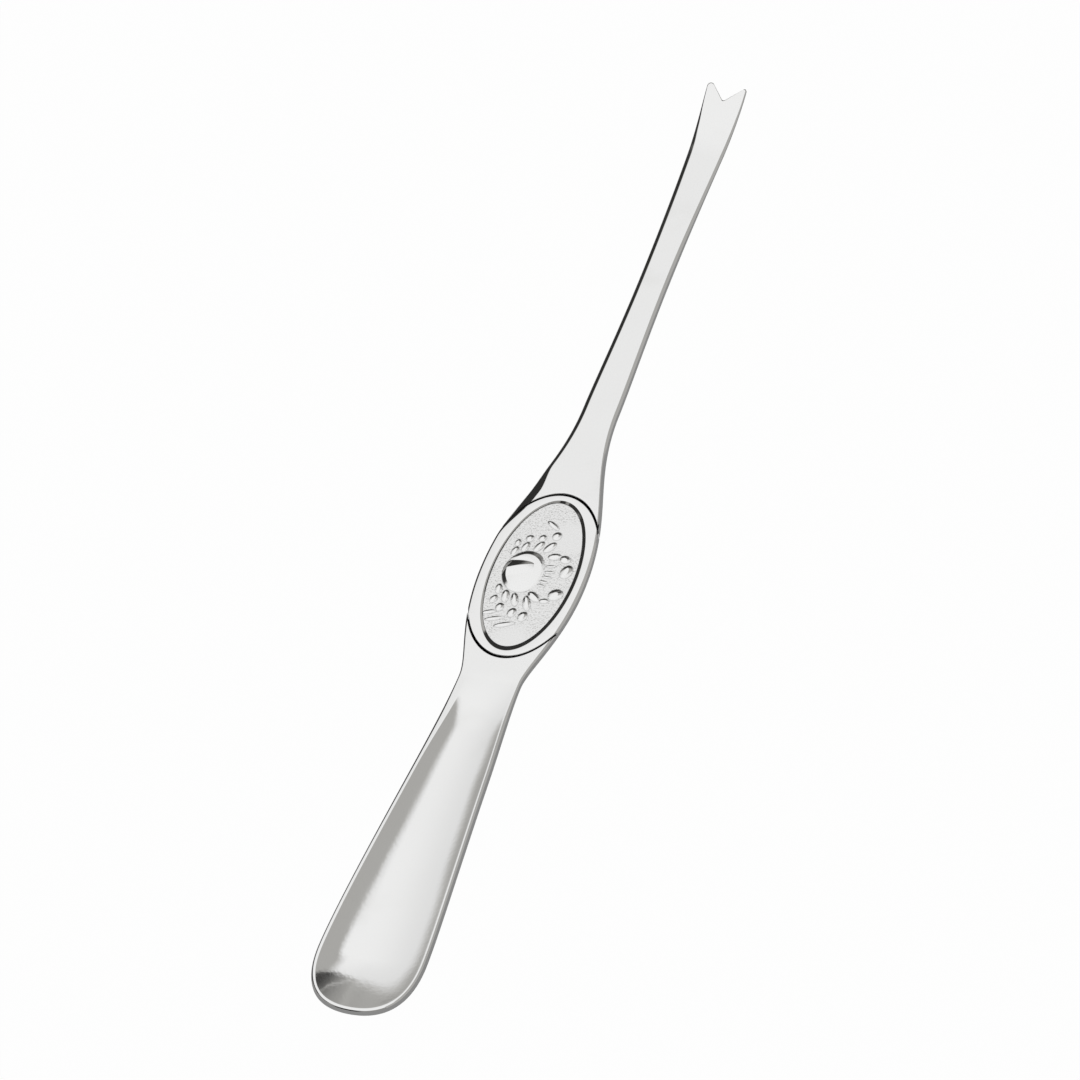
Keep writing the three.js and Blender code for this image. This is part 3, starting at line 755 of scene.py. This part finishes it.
def makeStruck(s=struckSteel):
    material, wire = startMaterial("struckSteel")
    where = wire.node("ShaderNodeTexCoord", None, None, "Object")
    grain = wire.noise(where, s["grainScale"], 2)
    worn = wire.attribute("relief").between(*s["wornHeight"])
    roughness = s["fieldRoughness"] + (s["crabRoughness"] - s["fieldRoughness"]) * worn
    roughness = roughness + s["grainRough"] * (grain - 0.5)
    # Painted shade: the pits are coloured darker the deeper they are
    colour = wire.blend(wire.attribute("pits") * s["pitShare"], s["light"], s["pit"])
    # Painted shade: dark lines along the plaque's edge and in the creases round the crab's forms
    border = wire.attribute("border").between(*s["borderRange"])
    colour = wire.blend(border, colour, s["paintedShade"])
    colour = wire.blend(wire.attribute("crease") * s["creaseShare"], colour, s["paintedShade"])
    bump = wire.bump(grain, s["grainBump"])
    surface = wire.node("ShaderNodeBsdfPrincipled", None, {
        "Base Color": colour, "Metallic": 1, "Roughness": roughness, "Normal": bump})
    wire.node("ShaderNodeOutputMaterial", None, {"Surface": surface})
    return material


polished, struck = makePolished(), makeStruck()
for piece, material, node, slot in (
    (body, polished, "fork_body", "polished_steel"),
    (ring, polished, "medallion_bezel", "polished_steel"),
    (plaque, struck, "crab_medallion", "struck_steel"),
):
    piece.data.materials.clear()
    piece.data.materials.append(material)
    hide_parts(node)
    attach(piece, "root")
print("materials set")

# White table that keeps a faint shadow
tableTop = {"size": 60.0, "drop": 0.02, "glow": 0.985, "shine": 0.15, "white": 0.28}


def addTable(t=tableTop):
    half, z = t["size"] / 2, -t["drop"] * mm
    mesh = bpy.data.meshes.new("tableTop")
    mesh.from_pydata([(-half, -half, z), (half, -half, z), (half, half, z), (-half, half, z)],
                     [], [(0, 1, 2, 3)])
    table = bpy.data.objects.new("tableTop", mesh)
    bpy.context.scene.collection.objects.link(table)
    material, wire = startMaterial("tablePaint")
    ray = wire.node("ShaderNodeLightPath", None, None, "Is Camera Ray")
    glossy = wire.node("ShaderNodeLightPath", None, None, "Is Glossy Ray")
    through = wire.node("ShaderNodeLightPath", None, None, "Is Transmission Ray")
    seen = ray * t["glow"] + (glossy + through) * t["shine"]
    paint = wire.node("ShaderNodeBsdfDiffuse", None, {"Color": (t["white"],) * 3 + (1,)})
    glow = wire.node("ShaderNodeEmission", None, {"Color": (1, 1, 1, 1), "Strength": 1})
    surface = wire.node("ShaderNodeMixShader", None, {0: seen, 1: paint, 2: glow})
    wire.node("ShaderNodeOutputMaterial", None, {"Surface": surface})
    mesh.materials.append(material)


# Studio: a white ceiling, paler with its height, over darker walls. Each wall runs from one bearing
# to another, in degrees from +Y towards +X, and ends between two heights, in degrees too. Where it
# leans, those heights go down, each by its own amount, from one bearing back to another; where it
# pales, its level goes up likewise.
studio = {
    "ceiling": (28, 60, 0.84, 0.98),  # from one height to another, and its level at both
    "warm": (1.0, 0.985, 0.95, 1), "warmLevel": (0.4, 0.85),  # tint of the darker walls
    "walls": [
        {"from": (-127, -123), "to": (-64, -60), "level": 0.03, "top": (36, 44)},
        {"from": (-127, -123), "to": (-86, -78), "level": 0.35, "top": (19, 25)},
        {"from": (-178, -168), "to": (-146, -136), "level": 0.03, "top": (38, 48)},
        {"from": (-7, 7), "to": (133, 137), "level": 0.45, "top": (66, 72),
         "lean": (0, 25, 13, 13)},
        {"from": (-64, -60), "to": (10, 16), "level": 0.05, "top": (47.7, 48.5),
         "lean": (-45, 3, 24, 17), "pale": (-27, 3, 0.38)},
        {"from": (-24, -14), "to": (10, 16), "level": 0.05, "top": (47.6, 48.6),
         "lean": (-45, 3, 18.5, 18.5), "pale": (-27, 3, 0.38)},
        # A thin light line on the wall
        {"from": (-23, -19), "to": (-10, -6), "level": 0.6, "top": (41.4, 41.6),
         "lean": (-21, -6, 2.6, 2.6)},
        {"from": (-23, -19), "to": (-10, -6), "level": 0.05, "top": (40.7, 40.9),
         "lean": (-21, -6, 2.6, 2.6), "pale": (-27, 3, 0.38)},
        # The black foot of the walls, which the bevel on the left reflects
        {"from": (-64, -60), "to": (10, 16), "level": 0.03, "top": (20, 29),
         "lean": (-52, -32, 6, 6)},
        {"from": (-72, -66), "to": (-58, -54), "level": 0.03, "top": (21, 27)},
    ],
    # All the rest, outside these bearings
    "front": {"from": (-127, -123), "to": (133, 137), "level": 0.3, "top": (38, 48)},
}


def addStudio(s=studio):
    world = bpy.data.worlds.new("studio")
    bpy.context.scene.world = world
    world.use_nodes = True
    world.node_tree.nodes.clear()
    wire = Wire(world.node_tree)
    toward = wire.node("ShaderNodeTexCoord", None, None, "Generated")
    split = wire.node("ShaderNodeSeparateXYZ", None, {0: toward})
    x, y, z = (Wire(wire.tree, split.socket.node.outputs[i]) for i in range(3))
    degrees = 180 / math.pi
    height = wire.math("ARCSINE", z) * degrees
    bearing = wire.math("ARCTAN2", x, y) * degrees

    def within(wall):
        return bearing.between(*wall["from"]) * (1 - bearing.between(*wall["to"]))

    def back(wall, key):
        start, end, *amounts = wall.get(key, (0, 1, 0, 0))
        share = 1 - bearing.between(start, end)
        return [share * amount for amount in amounts]

    low, high, dim, bright = s["ceiling"]
    light = dim + (bright - dim) * height.between(low, high)
    shares = [(1 - within(s["front"]), s["front"])]
    shares += [(within(wall), wall) for wall in s["walls"]]
    for share, wall in shares:
        low, high = (top - fall for top, fall in zip(wall["top"], back(wall, "lean")))
        share = share * (1 - height.between(low, high))
        light = light + (back(wall, "pale")[0] + wall["level"] - light) * share
    black, white = (0, 0, 0, 1), (1, 1, 1, 1)
    tint = wire.blend(light.between(*s["warmLevel"]), s["warm"], white)
    colour = wire.blend(light, black, tint)
    surface = wire.node("ShaderNodeBackground", None, {"Color": colour, "Strength": 1})
    wire.node("ShaderNodeOutputWorld", None, {"Surface": surface})


addTable()
addStudio()
bpy.context.scene.view_settings.view_transform = "Standard"
print("table and studio set")
